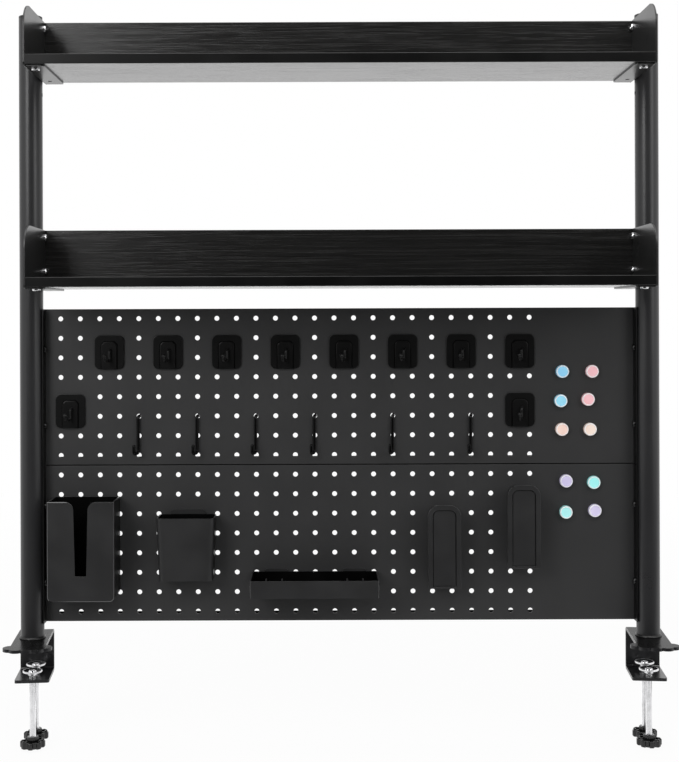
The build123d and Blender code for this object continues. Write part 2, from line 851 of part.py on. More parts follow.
def make_plate_hooks():
    """Ten alike: a rounded back plate with a ridge, a swept hook and four anchors."""
    sway = radians(hook_sway)
    ahead = (-sin(sway), 0, cos(sway))
    hook_plane = Plane(
        origin=(hook_shift, hook_start, hook_shelf - hook_ridge_thick / 2),
        x_dir=ahead,
        z_dir=(-cos(sway), 0, -sin(sway)),
    )
    with BuildPart() as hook:
        with BuildSketch():
            RectangleRounded(hook_plate_width, hook_plate_height, hook_plate_r)
        extrude(amount=hook_plate_thick)
        with BuildSketch(Plane.XY.offset(hook_plate_thick)) as ridge:
            tall = hook_plate_height - hook_ridge_top
            with Locations((0, -hook_ridge_top / 2)):
                Rectangle(hook_ridge_width, tall)
            chamfer(ridge.vertices().group_by(Axis.Y)[-1], hook_ridge_corner)
        extrude(amount=hook_ridge_thick)
        stand = hook_stand + hook_ridge_thick / 2
        bend = [
            (0, 0),
            (stand, 0),
            (stand, -hook_fall),
            (stand + hook_reach, -hook_fall),
            (stand + hook_reach, hook_rise - hook_fall),
        ]
        add_rod(hook_plane, bend, hook_bend, hook_wire_r)
        for across in (-pitch / 2, pitch / 2):
            anchor_plane = Plane(origin=(across, hook_mid, 0), x_dir=(0, 0, -1), z_dir=(1, 0, 0))
            anchor = [(0, 0), (anchor_reach, 0), (anchor_reach, anchor_rise)]
            add_rod(anchor_plane, anchor, anchor_bend, anchor_r)
            pin_plane = Plane(origin=(across, hook_mid - pitch, 0), x_dir=(0, 0, -1), z_dir=(1, 0, 0))
            add_rod(pin_plane, [(0, 0), (anchor_reach, 0)], anchor_bend, anchor_r)
    sites = [(column, upper_hook_row) for column in upper_hook_columns]
    sites += [(column, lower_hook_row) for column in lower_hook_columns]
    seats = []
    for column, row in sites:
        origin = (hole_x(column) + pitch / 2, seat_y, hole_z(row) - hook_mid)
        seats.append(Plane(origin=origin, x_dir=(1, 0, 0), z_dir=(0, -1, 0)))
    with BuildPart() as hooks:
        with Locations(*seats):
            add(hook.part)
    save(hooks, "plate_hooks")


def make_wire_hooks():
    """Six alike: one bent wire each, hung from a hole and swung a little to the left."""
    sway = radians(wire_sway)
    stand = wire_r + wire_gap
    outward = (-sin(sway), -cos(sway), 0)
    wire_plane = Plane(origin=(0, 0, 0), x_dir=outward, z_dir=(-cos(sway), sin(sway), 0))
    bend = [
        (-wire_behind, wire_upturn),
        (-wire_behind, 0),
        (stand, 0),
        (stand, -wire_fall),
        (stand + wire_out, -wire_fall),
        (stand + wire_out, wire_rise - wire_fall),
    ]
    with BuildPart() as hook:
        add_rod(wire_plane, bend, wire_bend, wire_r)
    seats = [Location((hole_x(column), panel_face_y, hole_z(wire_row))) for column in wire_columns]
    with BuildPart() as hooks:
        with Locations(*seats):
            add(hook.part)
    save(hooks, "wire_hooks")


def make_magnets(colour):
    panel_name, places = magnet_sites[colour]
    panel_top = panel_bases[panel_name] + panel_height
    centres = [(panel_half - inwards, panel_top - down) for inwards, down in places]
    with BuildPart() as magnets:
        with BuildSketch(Plane.XZ.offset(-panel_face_y)):
            with Locations(*centres):
                Circle(magnet_r)
        extrude(amount=magnet_thick)
    save(magnets, colour + "_magnets")


os.makedirs("parts", exist_ok=True)
for name in sides:
    make_post(name)
    make_post_cap(name)
    make_foot_plug(name)
    make_foot_screw(name)
    make_clamp_bracket(name)
    make_hanger(name)
    for spot in bolt_spots:
        make_clamp_pad(name, spot)
        make_clamp_bolt(name, spot)
        make_clamp_knob(name, spot)
for level_name in shelf_levels:
    make_shelf_board(level_name)
    make_back_rail(level_name)
    for name in sides:
        make_end_bracket(level_name, name)
make_shelf_screws()
make_panels()
make_panel_screws()
make_slotted_box()
make_pen_cup()
make_tray()
make_plate_hooks()
make_wire_hooks()
for colour in magnet_sites:
    make_magnets(colour)
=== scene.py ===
import json
from math import copysign, cos, pi, radians, sin, tan

import bmesh
import bpy
from mathutils import Matrix, Vector

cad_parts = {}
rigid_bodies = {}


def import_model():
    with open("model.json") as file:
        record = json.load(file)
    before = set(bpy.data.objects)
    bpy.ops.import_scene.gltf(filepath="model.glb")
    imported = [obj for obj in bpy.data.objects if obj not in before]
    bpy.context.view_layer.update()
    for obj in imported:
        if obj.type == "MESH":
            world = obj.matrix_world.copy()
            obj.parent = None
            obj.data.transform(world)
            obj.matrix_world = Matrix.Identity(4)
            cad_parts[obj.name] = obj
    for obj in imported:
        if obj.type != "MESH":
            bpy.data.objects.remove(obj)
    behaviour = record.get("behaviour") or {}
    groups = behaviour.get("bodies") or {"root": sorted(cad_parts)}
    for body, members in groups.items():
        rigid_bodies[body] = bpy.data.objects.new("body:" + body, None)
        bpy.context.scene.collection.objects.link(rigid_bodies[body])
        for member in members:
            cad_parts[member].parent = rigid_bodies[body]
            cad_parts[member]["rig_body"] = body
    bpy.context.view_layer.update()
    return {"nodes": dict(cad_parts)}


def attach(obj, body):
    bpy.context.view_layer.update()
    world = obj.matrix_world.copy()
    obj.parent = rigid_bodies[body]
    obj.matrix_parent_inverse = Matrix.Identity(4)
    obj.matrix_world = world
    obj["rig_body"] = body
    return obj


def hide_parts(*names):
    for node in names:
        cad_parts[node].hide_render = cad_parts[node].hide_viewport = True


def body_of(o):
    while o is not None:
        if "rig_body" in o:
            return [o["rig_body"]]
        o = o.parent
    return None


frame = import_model()
nodes = frame["nodes"]


# ------------------------------------------------------------------------------------------
# The studio. A white sweep behind and below, as product shots have, and soft lamps at the
# left front, above and at the right. The camera stands straight in front of the board, a
# little left of its middle and at the height of the upper panel's top edge.

camera = bpy.data.objects.new("camera", bpy.data.cameras.new("camera"))
camera.location = (-0.0264, -1.640, 0.4136)
camera.rotation_euler = (radians(90), radians(0.2), 0)
camera.data.sensor_fit = "VERTICAL"
camera.data.sensor_height = 36.0
camera.data.lens = 59.84
camera.data.shift_x = 0.0269
camera.data.shift_y = -0.0801
camera.data.clip_start = 0.05
camera.data.clip_end = 60
bpy.context.scene.collection.objects.link(camera)
bpy.context.scene.camera = camera
bpy.context.scene.view_settings.view_transform = "Standard"


class Value:
    """A value of one node tree: arithmetic on it adds Math nodes to that tree."""

    def __init__(self, finish, socket):
        self.finish = finish
        self.socket = socket

    def math(self, operation, *terms):
        return self.finish.node("Math", {"operation": operation}, dict(enumerate(terms)))

    def __add__(self, other):
        return self.math("ADD", self, other)

    def __radd__(self, other):
        return self.math("ADD", other, self)

    def __sub__(self, other):
        return self.math("SUBTRACT", self, other)

    def __mul__(self, other):
        return self.math("MULTIPLY", self, other)

    def __rmul__(self, other):
        return self.math("MULTIPLY", other, self)

    def ramp(self, low, high):
        """0 below low, 1 above high and smooth between."""
        settings = {"interpolation_type": "SMOOTHSTEP"}
        return self.finish.node("MapRange", settings, {0: self, 1: low, 2: high})


class Finish:
    """A node tree with one method that adds any node, and the ways of laying a finish."""

    def __init__(self, owner):
        owner.use_nodes = True
        self.owner = owner
        self.tree = owner.node_tree
        self.tree.nodes.clear()

    def node(self, kind, settings=None, sockets=None, output=0):
        made = self.tree.nodes.new("ShaderNode" + kind)
        for key, value in (settings or {}).items():
            setattr(made, key, value)
        for key, value in (sockets or {}).items():
            if isinstance(value, Value):
                self.tree.links.new(value.socket, made.inputs[key])
            else:
                made.inputs[key].default_value = value
        return Value(self, made.outputs[output]) if made.outputs else None

    def place(self, across=1.0, deep=1.0, up=1.0):
        """The point on the real object in metres, stretched along its three directions."""
        here = self.node("TexCoord", output="Object")
        return self.node("VectorMath", {"operation": "MULTIPLY"}, {0: here, 1: (across, deep, up)})

    def noise(self, place, scale, detail=2.0, rough=0.5):
        sockets = {"Vector": place, "Scale": scale, "Detail": detail, "Roughness": rough}
        return self.node("TexNoise", {}, sockets)

    def tint(self, share, first, second):
        sockets = {"Factor": share, "A": (*first, 1), "B": (*second, 1)}
        return self.node("Mix", {"data_type": "RGBA"}, sockets, "Result")

    def bump(self, height, strength, distance):
        sockets = {"Height": height, "Strength": strength, "Distance": distance}
        return self.node("Bump", {}, sockets)

    def plainly_seen(self):
        """1 for what the camera sees straight, in a reflection or through an opening."""
        seen = self.node("LightPath", output="Is Camera Ray")
        for ray in ("Is Glossy Ray", "Is Transmission Ray"):
            seen = seen + self.node("LightPath", output=ray)
        return seen.math("MINIMUM", seen, 1.0)

    def surface(self, **sockets):
        named = {key.replace("_", " "): value for key, value in sockets.items()}
        shader = self.node("BsdfPrincipled", {}, named)
        self.node("OutputMaterial", {}, {"Surface": shader})
        return self.owner


def new_finish(name):
    return Finish(bpy.data.materials.new(name))


backdrop_level = 1.0
room_level = 0.42
room = bpy.data.worlds.new("studio")
bpy.context.scene.world = room
sky = Finish(room)
level = sky.plainly_seen() * (backdrop_level - room_level) + room_level
white = sky.node("Background", {}, {"Color": (1, 1, 1, 1), "Strength": level})
sky.node("OutputWorld", {}, {"Surface": white})


def soft_lamp(name, watts, size, where, aim=(0, 0, 0.35)):
    lamp = bpy.data.objects.new(name, bpy.data.lights.new(name, "AREA"))
    lamp.data.shape = "RECTANGLE"
    lamp.data.size, lamp.data.size_y = size
    lamp.data.energy = watts
    lamp.location = where
    lamp.rotation_euler = (Vector(where) - Vector(aim)).to_track_quat("Z", "Y").to_euler()
    bpy.context.scene.collection.objects.link(lamp)


soft_lamp("key_left", 20, (0.9, 1.3), (-1.25, -1.9, 1.35), (-0.3, 0, 0.55))
soft_lamp("fill_right", 9, (1.0, 1.4), (1.6, -1.6, 1.1))
soft_lamp("overhead", 13, (2.0, 1.2), (0, -0.3, 2.4))
soft_lamp("high_front", 10, (1.6, 0.8), (0.5, -1.9, 2.3))
soft_lamp("backdrop_glow", 7, (3.2, 1.6), (0, 3.0, 0.7))
bpy.data.objects["backdrop_glow"].visible_camera = False

floor_z = -0.1412
floor_size = 12.0
near_white = 0.955
flat = bmesh.new()
bmesh.ops.create_grid(flat, x_segments=2, y_segments=2, size=floor_size)
floor_mesh = bpy.data.meshes.new("floor")
flat.to_mesh(floor_mesh)
floor = bpy.data.objects.new("floor", floor_mesh)
floor.location = (0, 0, floor_z)
bpy.context.scene.collection.objects.link(floor)
paper = new_finish("white_paper")
spot = paper.place()
tooth = paper.bump(paper.noise(spot, 900, 3), 0.05, 0.0002)
matt = paper.node("BsdfDiffuse", {}, {"Color": (0.86, 0.86, 0.86, 1), "Normal": tooth})
glow = paper.node("Emission", {}, {"Color": (1, 1, 1, 1), "Strength": 1.0})
far_off = paper.node("VectorMath", {"operation": "LENGTH"}, {0: spot}, "Value").ramp(0.5, 2.6)
lit = paper.plainly_seen() * (near_white + (1 - near_white) * far_off)
sheet = paper.node("MixShader", {}, {0: lit, 1: matt, 2: glow})
paper.node("OutputMaterial", {}, {"Surface": sheet})
floor_mesh.materials.append(paper.owner)

# A black card stands behind the camera and lies on the floor up to the object, as in most
# shots of black goods. Only reflections see it, so faces turned to the front stay dark and
# edges turned away from it catch white.
card_half = 2.4
card_fold = [(-2.6, 2.3), (-2.6, floor_z + 0.002), (-0.3, floor_z + 0.002)]
card_mesh = bpy.data.meshes.new("black_card")
corners = [(x, y, z) for y, z in card_fold for x in (-card_half, card_half)]
card_mesh.from_pydata(corners, [], [(0, 1, 3, 2), (2, 3, 5, 4)])
card = bpy.data.objects.new("black_card", card_mesh)
bpy.context.scene.collection.objects.link(card)
felt = new_finish("black_felt")
nap = felt.tint(felt.noise(felt.place(), 1200, 2), (0.01, 0.01, 0.01), (0.02, 0.02, 0.02))
card_mesh.materials.append(felt.surface(Base_Color=nap, Roughness=0.95))
card.visible_camera = card.visible_diffuse = False
card.visible_shadow = card.visible_transmission = False


# ------------------------------------------------------------------------------------------
# The posts: round steel tubes in satin black powder coat. A moulded cap with a gate mark in
# its middle plugs each top, and a tapped plug in each foot carries the ring that the tube
# stands on.

mm = 0.001
post_x = 398.5
post_top = 804.0
clamp_plate = 4.0
sides = {"left": -1, "right": 1}


def powder_coat(name, shade, rough, gloss=0.5, peel=0.12):
    """Black powder coat: a faint orange peel, and a sheen that drifts a little."""
    coat = new_finish(name)
    here = coat.place()
    drift = coat.noise(here, 14, 3)
    fleck = coat.noise(here, 2600, 2).ramp(0.60, 0.72)
    grain = coat.noise(here, 900, 3, 0.55)
    light = tuple(1.45 * part for part in shade)
    return coat.surface(
        Base_Color=coat.tint(drift * 0.5 + fleck * 0.5, shade, light),
        Roughness=rough + 0.10 * (drift - 0.5) + 0.06 * (grain - 0.5),
        Specular_IOR_Level=gloss,
        Normal=coat.bump(grain, peel, 0.0002),
    )


def moulded(name, shade, rough, gloss=0.5, texture=0.10, scale=1400):
    """Moulded plastic: an even colour with a fine eroded texture from the tool."""
    plastic = new_finish(name)
    here = plastic.place()
    erode = plastic.noise(here, scale, 2, 0.6)
    flow = plastic.noise(here, 22, 2)
    light = tuple(min(1.0, 1.25 * part + 0.002) for part in shade)
    return plastic.surface(
        Base_Color=plastic.tint(flow.ramp(0.3, 0.75), shade, light),
        Roughness=rough + 0.08 * (erode - 0.5) + 0.05 * (flow - 0.5),
        Specular_IOR_Level=gloss,
        Normal=plastic.bump(erode, texture, 0.00015),
    )


def stand(x, y, z, axis=(0, 0, 1)):
    """A place on the object in mm, with the piece's own axis laid along a direction."""
    turn = Vector(axis).to_track_quat("Z", "Y" if abs(axis[1]) < 0.9 else "X").to_matrix().to_4x4()
    return Matrix.Translation(Vector((x, y, z)) * mm) @ turn


def turned(shape, profile, place, steps=64, swell=None):
    """A lathe-turned surface: its profile, as (radius, height) in mm, spun about its axis."""
    rings = []
    for radius, height in profile:
        ring = []
        for step in range(steps if radius > 0 else 1):
            angle = 2 * pi * step / steps
            reach = swell(radius, angle) if swell else radius
            point = Vector((reach * cos(angle), reach * sin(angle), height)) * mm
            ring.append(shape.verts.new(place @ point))
        rings.append(ring)
    for low, high in zip(rings, rings[1:]):
        for step in range(steps):
            ahead = (step + 1) % steps
            corners = [low[step % len(low)], low[ahead % len(low)]]
            corners += [high[ahead % len(high)], high[step % len(high)]]
            corners = list(dict.fromkeys(corners))
            if len(corners) > 2:
                shape.faces.new(corners)


def finished(name, shape, finish, nodes_replaced, edge=0.0, keep=32):
    """A made piece with its edges eased, in its finish, on the body of the nodes it stands for."""
    bmesh.ops.recalc_face_normals(shape, faces=shape.faces)
    mesh = bpy.data.meshes.new(name)
    shape.to_mesh(mesh)
    shape.free()
    mesh.shade_smooth()
    mesh.materials.append(finish)
    piece = bpy.data.objects.new(name, mesh)
    bpy.context.scene.collection.objects.link(piece)
    if edge:
        easing = piece.modifiers.new("eased_edges", "BEVEL")
        easing.width = edge * mm
        easing.segments = 2
        easing.limit_method = "ANGLE"
        easing.angle_limit = radians(keep)
    smoothing = piece.modifiers.new("even_shading", "WEIGHTED_NORMAL")
    smoothing.keep_sharp = False
    if not edge:
        mesh.set_sharp_from_angle(angle=radians(keep))
        smoothing.keep_sharp = True
    depsgraph = bpy.context.evaluated_depsgraph_get()
    made = bpy.data.meshes.new_from_object(piece.evaluated_get(depsgraph))
    piece.modifiers.clear()
    piece.data = made
    bpy.data.meshes.remove(mesh)
    made.name = name
    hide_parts(*nodes_replaced)
    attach(piece, body_of(nodes[nodes_replaced[0]])[0])
    return piece


post_coat = powder_coat("satin_black_post", (0.021, 0.021, 0.022), 0.30, 0.42)
cap_plastic = moulded("black_cap_plastic", (0.010, 0.010, 0.010), 0.40, 0.4)
foot_coat = powder_coat("black_foot_ring_coat", (0.010, 0.010, 0.010), 0.36, 0.4)
cap_profile = [
    (0, -9), (12.6, -9), (13.4, -8), (13.4, 0), (15, 0), (15, 3), (1.8, 3), (1.3, 2.7), (0, 2.7),
]
foot_profile = [
    (4.1, 0), (16.9, 0), (16.9, 0.9), (16.3, 2.0), (15.4, 3), (13.4, 3), (13.4, 17), (4.1, 17),
    (4.1, 0),
]
for side, sign in sides.items():
    nodes[side + "_post"].data.materials.clear()
    nodes[side + "_post"].data.materials.append(post_coat)
    cap = bmesh.new()
    turned(cap, cap_profile, stand(sign * post_x, 0, post_top), 72)
    finished(side + "_cap_moulding", cap, cap_plastic, [side + "_post_cap"], 0.6)
    ring = bmesh.new()
    turned(ring, foot_profile, stand(sign * post_x, 0, clamp_plate), 72)
    finished(side + "_foot_ring", ring, foot_coat, [side + "_foot_plug"], 0.4)


# ------------------------------------------------------------------------------------------
# The desk clamps: a C bracket folded from 4 mm steel under each post, powder coated, with a
# scalloped top plate. A countersunk socket screw from below holds the post to it.

clamp_turn = 5.2
straight_edge_end = -36.0


def clamp_point(side, ahead):
    """A point on the clamp's own middle line, which is turned in a little about its post."""
    turn = radians(-sides[side] * clamp_turn)
    return sides[side] * post_x - ahead * sin(turn), ahead * cos(turn)


def bright_metal(name, shade, rough, brushed=0.04):
    """Bright plating with faint turning marks across its height."""
    metal = new_finish(name)
    marks = metal.noise(metal.place(60, 60, 4200), 1.0, 2)
    cloud = metal.noise(metal.place(), 90, 2)
    dull = tuple(0.86 * part for part in shade)
    return metal.surface(
        Base_Color=metal.tint(cloud.ramp(0.35, 0.8), shade, dull),
        Metallic=1.0,
        Roughness=rough + brushed * marks + 0.05 * cloud,
        Normal=metal.bump(marks, 0.05, 0.00008),
    )


def eased_node(node, finish, edge, shaping=None):
    """A node's own shape with its edges eased, as the finish leaves them. A shaping step may
    come before the easing."""
    shape = bmesh.new()
    shape.from_mesh(nodes[node].data)
    bmesh.ops.remove_doubles(shape, verts=shape.verts, dist=1e-6)
    bmesh.ops.dissolve_limit(
        shape, angle_limit=radians(0.5), verts=shape.verts, edges=shape.edges)
    if shaping:
        shaping(shape)
    return finished(node + "_made", shape, finish, [node], edge)


def finish_faces(mesh, finishes, choose, *details):
    """Adds finishes to a mesh and gives each face the one whose number choose returns."""
    for finish in finishes:
        mesh.materials.append(finish)
    for face in mesh.polygons:
        face.material_index = choose(face, *details)


def clamp_face(face, sign):
    """The clamp's finishes: painted shade in a darker, near-matt coat on the top, bare metal on
    the inner edge beside it that is partly wear and partly a painted highlight, and worn edges
    elsewhere.
    """
    slanted = 0.25 < abs(face.normal.z) < 0.95
    inward = face.normal.x * sign < -0.3
    straight_part = face.center.z > 2.4 * mm and face.center.y > straight_edge_end * mm
    if face.normal.z > 0.95 and face.center.z > (clamp_plate - 0.1) * mm:
        return 3
    return 2 if slanted and inward and straight_part else int(slanted)


clamp_coat = powder_coat("black_clamp_coat", (0.011, 0.011, 0.012), 0.28, 0.45, 0.12)
zinc = bright_metal("plain_zinc", (0.60, 0.60, 0.61), 0.28)
worn_edge = powder_coat("smooth_clamp_edge", (0.022, 0.022, 0.023), 0.12, 1.0, 0.05)
# Partly wear, partly painted highlight: bright bare metal only on the inner slanted edges of the
# top plate's straight part, where the light catches that edge.
bare_wear_and_highlight_edge = bright_metal("bare_clamp_edge_wear_and_painted_highlight", (0.90, 0.90, 0.90), 0.16)
# Painted shade: the top face of each clamp plate gets a darker, near-matt coat.
painted_shade_top_coat = powder_coat("painted_shade_clamp_top_coat", (0.005, 0.005, 0.005), 0.28, 0.05, 0.10)
for side, sign in sides.items():
    folded = eased_node(side + "_clamp_bracket", clamp_coat, 1.5).data
    finish_faces(folded, (worn_edge, bare_wear_and_highlight_edge, painted_shade_top_coat), clamp_face, sign)
    eased_node(side + "_foot_screw", zinc, 0.25)


# ------------------------------------------------------------------------------------------
# The clamp screws: M8 bolts of bright plated steel, rolled with a 1.25 mm thread. Each turns
# in a dished swivel pad on its tip, and has a moulded star knob pressed on its lower end.

bolt_ahead = {"front": -3.0, "rear": 31.0}
pad_base = -44.0
pad_rim_r = 10.6
pad_boss_r = 4.4
bolt_head = -44.1
bolt_end = -132.1
knob_base = -137.1
thread_crest, thread_root, thread_lead = 4.0, 3.35, 1.25
lobes = 8
rib_place = (9.1, 0, 6.7)
rib_size = (4.2, 1.1, 2.2)


def threaded(shape, place, low, high, crest, root, lead, steps=22):
    """A rolled thread: rows that climb one lead in every turn, cut square at both ends."""
    stages = [(0.00, crest), (0.16, crest), (0.50, root), (0.70, root)]
    rows = []
    for turn in range(-1, round((high - low) / lead) + 2):
        for start, radius in stages:
            row = []
            for step in range(steps):
                angle = 2 * pi * step / steps
                height = min(max(low + lead * (turn + start + step / steps), low), high)
                point = Vector((radius * cos(angle), radius * sin(angle), height)) * mm
                row.append(shape.verts.new(place @ point))
            rows.append(row)
    for count in range(len(rows) - len(stages) - 1):
        here, above = rows[count], rows[count + 1]
        for step in range(steps - 1):
            shape.faces.new([here[step], here[step + 1], above[step + 1], above[step]])
        round_again, and_above = rows[count + len(stages)][0], rows[count + len(stages) + 1][0]
        shape.faces.new([here[-1], round_again, and_above, above[-1]])


def scalloped(radius, angle):
    """Past the hub the knob's outline runs in and out between its eight lobes."""
    if radius > 11:
        tip = min(max((cos(lobes * angle) + 0.62) / 1.1, 0), 1)
        return radius - 2.6 * (1 - tip * tip * (3 - 2 * tip))
    if radius > 6.9:
        return radius - 0.25 * (1 + cos(2 * lobes * angle))
    return radius


def pad_face(face, x, y):
    """The pad's satin rim and boss show above its polished dish."""
    off = (face.center - Vector((x, y, 0)) * mm).xy.length
    satin = off > pad_rim_r * mm or off < pad_boss_r * mm
    return int(satin and face.center.z > (pad_base + 5) * mm)


pad_profile = [
    (0, 3.6), (2.85, 3.6), (2.85, 0), (5.5, 0), (6, 0.5), (6, 3.3), (7, 4), (11.9, 4),
    (12.4, 4.4), (12.5, 5.3), (12.4, 5.9), (12.05, 6.35), (11.6, 6.5), (11.1, 6.4), (10.7, 6.1),
    (8.0, 5.2), (5.1, 4.6), (4.7, 5.6), (4.2, 6.3), (3.5, 6.5), (2.5, 6.45), (2.0, 6.1),
    (1.3, 5.0), (0, 4.8),
]
knob_profile = [
    (0, 0.4), (3.4, 0.4), (4, 0), (13.2, 0), (15.1, 0.5), (16, 1.5), (16, 7.6), (15.4, 8.6),
    (14.6, 9), (14.1, 8.8), (13.8, 8.2), (13.6, 6.2), (13.1, 5.7), (7.6, 5.7), (7.5, 6.3),
    (7.3, 13), (6.8, 13.8), (6.2, 14), (4.6, 14), (4.05, 13.5), (4.05, 5), (0, 5),
]
chrome = bright_metal("bright_chrome", (0.86, 0.86, 0.88), 0.09)
satin_chrome = bright_metal("satin_chrome", (0.95, 0.95, 0.96), 0.42)
bolt_plating = bright_metal("bright_bolt_plating", (0.88, 0.88, 0.89), 0.16, 0.06)
knob_plastic = moulded("black_knob_plastic", (0.004, 0.004, 0.004), 0.15, 0.45)
for side in sides:
    for spot, ahead in bolt_ahead.items():
        key = side + "_" + spot
        x, y = clamp_point(side, ahead)
        pad = bmesh.new()
        turned(pad, pad_profile, stand(x, y, pad_base), 80)
        nodes_of = key + "_clamp_"
        dish = finished(
            key + "_swivel_pad", pad, chrome, [nodes_of + "pad"], keep=44).data
        finish_faces(dish, (satin_chrome,), pad_face, x, y)
        bolt = bmesh.new()
        threaded(
            bolt, stand(x, y, 0), bolt_end, bolt_head, thread_crest, thread_root, thread_lead)
        turned(bolt, [(0, 0), (3.4, 0)], stand(x, y, bolt_end), 22)
        tip = [(3.4, 0), (2.8, 0), (2.8, 3.0), (2.3, 3.5), (0, 3.5)]
        turned(bolt, tip, stand(x, y, bolt_head), 32)
        finished(
            key + "_threaded_bolt", bolt, bolt_plating, [nodes_of + "bolt"], keep=50)
        knob = bmesh.new()
        turned(knob, knob_profile, stand(x, y, knob_base), 192, scalloped)
        for lobe in range(lobes):
            angle = 2 * pi * (lobe + 0.5) / lobes
            rib = stand(x, y, knob_base) @ Matrix.Rotation(angle, 4, "Z")
            rib = rib @ Matrix.Translation(Vector(rib_place) * mm)
            rib = rib @ Matrix.Diagonal((*(size * mm for size in rib_size), 1))
            bmesh.ops.create_cube(knob, size=1, matrix=rib)
        finished(
            key + "_star_knob", knob, knob_plastic, [nodes_of + "knob"], keep=50)


# ------------------------------------------------------------------------------------------
# The shelves: 12 mm boards and 9 mm back rails under a black wood-grain laminate, screwed
# from below and behind to end brackets folded from 2 mm steel.

shelf_levels = {"middle": 454.5, "top": 724.5}
board_thick = 12.0
bracket_sheet = 2.0
inner_x = 383.5
flange_front = 106.0
flange_rear = 17.0


def laminate(name, shade, gloss):
    """Black laminate pressed with a long wood grain along the board."""
    skin = new_finish(name)
    sockets = {"Vector": skin.place(1.2, 5, 5), "Scale": 2.0, "Detail": 1.0}
    sway = skin.node("TexNoise", {}, sockets, "Color")
    shift = skin.node("VectorMath", {"operation": "SCALE"}, {0: sway, "Scale": 6.0})
    bent = skin.node("VectorMath", {"operation": "ADD"}, {0: skin.place(2.2, 330, 330), 1: shift})
    fibre = skin.noise(bent, 1.0, 4, 0.6)
    pore = skin.noise(skin.place(16, 1900, 1900), 1.0, 2).ramp(0.54, 0.70)
    light = tuple(2.0 * part for part in shade)
    return skin.surface(
        Base_Color=skin.tint(fibre.ramp(0.38, 0.70), shade, light),
        Roughness=0.22 + 0.12 * (fibre - 0.5) + 0.08 * pore,
        Specular_IOR_Level=gloss,
        Normal=skin.bump(fibre * 0.6 - pore * 0.5, 0.22, 0.0003),
    )


def bend_folds(shape, is_fold, radius):
    """Bends the square folds of a sheet round."""
    folds = [line for line in shape.edges if is_fold(*(end.co / mm for end in line.verts))]
    bmesh.ops.bevel(
        shape, geom=folds, offset=radius * mm, segments=5, profile=0.5, affect="EDGES")


def on_fold(first, second):
    """Whether an edge is the outer one of a fold along the shelf flange or the rear flange."""
    across = min(abs(first.x), abs(second.x)) > inner_x - 0.1
    lows = [level - bracket_sheet for level in shelf_levels.values()]
    under = any(abs(end.z - low) < 0.1 for low in lows for end in (first, second))
    level = abs(first.z - second.z) < 0.1 and under
    level = level and max(abs(first.y), abs(second.y)) < flange_front
    upright = abs(first.z - second.z) > 40 and min(first.y, second.y) > flange_rear - 0.1
    return across and (level or upright)


def front_band(face):
    """The board's front edge, which has a plain band."""
    return int(abs(face.normal.z) < 0.5 and face.normal.y < -0.5)


shelf_skin = laminate("black_woodgrain", (0.0085, 0.0083, 0.0080), 0.65)
edge_band = moulded("black_edge_band", (0.0016, 0.0016, 0.0016), 0.34, 0.2, 0.06, 700)
bracket_coat = powder_coat("black_bracket_coat", (0.012, 0.012, 0.012), 0.30, 0.5)
for level in shelf_levels:
    board = eased_node(level + "_shelf_board", shelf_skin, 0.35).data
    finish_faces(board, (edge_band,), front_band)
    eased_node(level + "_back_rail", shelf_skin, 0.35)
    for side in sides:
        eased_node(
            f"{level}_{side}_end_bracket", bracket_coat, 0.35,
            lambda shape: bend_folds(shape, on_fold, 1.8))


# ------------------------------------------------------------------------------------------
# The shelf and panel screws: steel pan heads with a cross recess. The post and board screws
# are bright plated, the rail and panel screws are blackened.

plate_x = inner_x - bracket_sheet
post_screw_rises = (11, 54.7)
board_screw_x, board_screw_y = 372.5, -88
rail_screw_x, rail_screw_rise, rail_screw_half = 373.5, 44.25, 15
panel_flange_x = 382.1
panel_screw_levels = (74.5, 173.7, 277.7, 376.9)


def pan_screw(shape, place, head_r, head_h, shank_r, reach, cross=0.56, slit=0.15):
    """A domed head with a tapered cross recess, on a plain shank."""
    dome = [(0.80, 1.0), (0.92, 0.84), (0.99, 0.55), (1.0, 0.3), (1.0, 0.0)]
    turned(shape, [(head_r * out, head_h * up) for out, up in dome], place, 40)
    turned(shape, [(head_r, 0), (shank_r, 0), (shank_r, -reach), (0, -reach)], place, 40)
    arms = [(cross, -slit), (cross, slit), (slit, slit), (slit, cross), (-slit, cross)]
    arms += [(-slit, slit)]
    arms += [(-x, -y) for x, y in arms]
    rim = [(0.80 * cos(2 * pi * step / 40), 0.80 * sin(2 * pi * step / 40)) for step in range(40)]
    loops = []
    for outline, scale, height in ((rim, 1.0, 1.0), (arms, 1.0, 1.0), (arms, 0.62, 0.25)):
        across, up = head_r * scale, head_h * height
        corners = [Vector((across * x, across * y, up)) * mm for x, y in outline]
        loops.append([shape.verts.new(place @ corner) for corner in corners])
    ring, mouth, floor_of_cross = loops
    lines = []
    for loop in (ring, mouth):
        lines += [shape.edges.new((loop[count - 1], loop[count])) for count in range(len(loop))]
    bmesh.ops.triangle_fill(shape, use_beauty=True, use_dissolve=False, edges=lines)
    for count in range(len(arms)):
        wall = [mouth[count - 1], mouth[count], floor_of_cross[count], floor_of_cross[count - 1]]
        shape.faces.new(wall)
    shape.faces.new(floor_of_cross)


def screw_set(name, seats, finish, slot, *sizes):
    screws = bmesh.new()
    for seat in seats:
        pan_screw(screws, seat, *sizes)
    finished(name + "_cross_heads", screws, finish, [name], keep=44)


